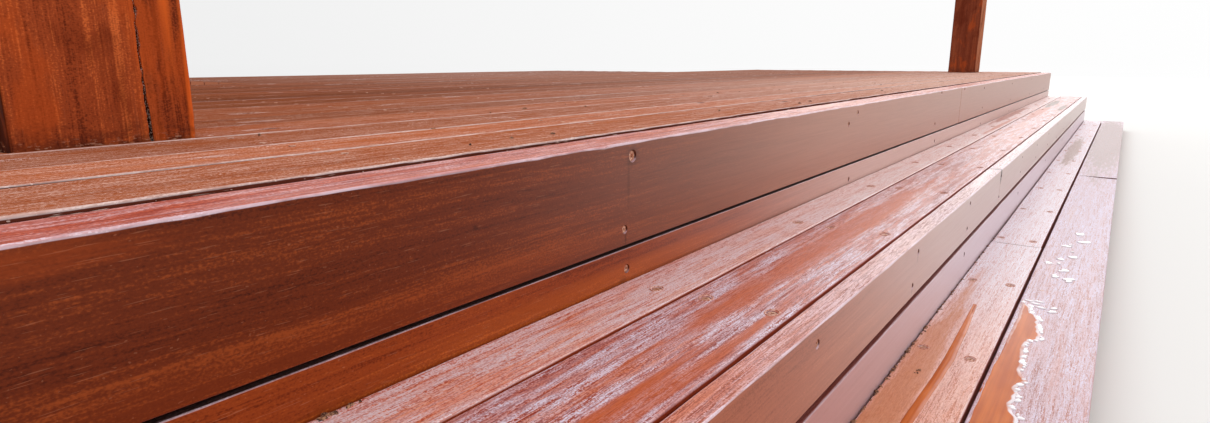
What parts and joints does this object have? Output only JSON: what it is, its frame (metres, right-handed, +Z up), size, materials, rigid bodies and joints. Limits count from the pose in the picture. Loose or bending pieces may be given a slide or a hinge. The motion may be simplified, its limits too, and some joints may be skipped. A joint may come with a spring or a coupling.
{
  "type": "wooden deck stairs",
  "caption": "Low hardwood deck with two long timber steps along its front edge, two square roof posts and an entry bay at the back, on stumps, bearers and joists.",
  "frame": {"origin": "centre of the footprint, on the ground", "axes": "+X along the steps, +Y from the bottom step towards the wall side of the deck, +Z up"},
  "size_m": [6.82, 4.286, 2.837],
  "materials": {
    "framing_timber": "dull weathered timber",
    "oiled_riser": "oiled satin hardwood, dark red-brown",
    "weathered_tread": "oiled hardwood weathered to a pink-grey raised grain, wet in places",
    "post_timber": "oiled hardwood, orange-red-brown, checked",
    "deck_timber": "oiled hardwood, brown-orange, wet and glossy"
  },
  "bodies": {
    "root": {"joists": "framing_timber", "front_bearer": "framing_timber", "middle_bearer": "framing_timber", "entry_bearer": "framing_timber", "stumps": "framing_timber", "wall_ledger": "framing_timber", "side_ledger_left": "framing_timber", "side_ledger_right": "framing_timber", "step_sleepers": "framing_timber", "step_legs": "framing_timber", "step_bearers": "framing_timber", "beam_packers": "framing_timber", "deck_edge_beam": "oiled_riser", "deck_kick_board": "oiled_riser", "upper_riser_board": "oiled_riser", "lower_kick_board": "oiled_riser", "end_fascia_left": "oiled_riser", "end_fascia_right": "oiled_riser", "end_stringer_left": "oiled_riser", "end_stringer_right": "oiled_riser", "upper_tread_rear_board": "weathered_tread", "upper_tread_front_board": "weathered_tread", "bottom_tread_rear_board": "weathered_tread", "bottom_tread_outer_board": "weathered_tread", "post_left": "post_timber", "post_right": "post_timber", "deck_board_01": "deck_timber", "deck_board_02": "deck_timber", "deck_board_03": "deck_timber", "deck_board_04": "deck_timber", "deck_board_05": "deck_timber", "deck_board_06": "deck_timber", "deck_board_07": "deck_timber", "deck_board_08": "deck_timber", "deck_board_09": "deck_timber", "deck_board_10": "deck_timber", "deck_board_11": "deck_timber", "deck_board_12": "deck_timber", "deck_board_13": "deck_timber", "deck_board_14": "deck_timber", "deck_board_15": "deck_timber", "deck_board_16": "deck_timber", "deck_board_17": "deck_timber", "deck_board_18": "deck_timber", "entry_boards": "deck_timber"}
  },
  "joints": []
}
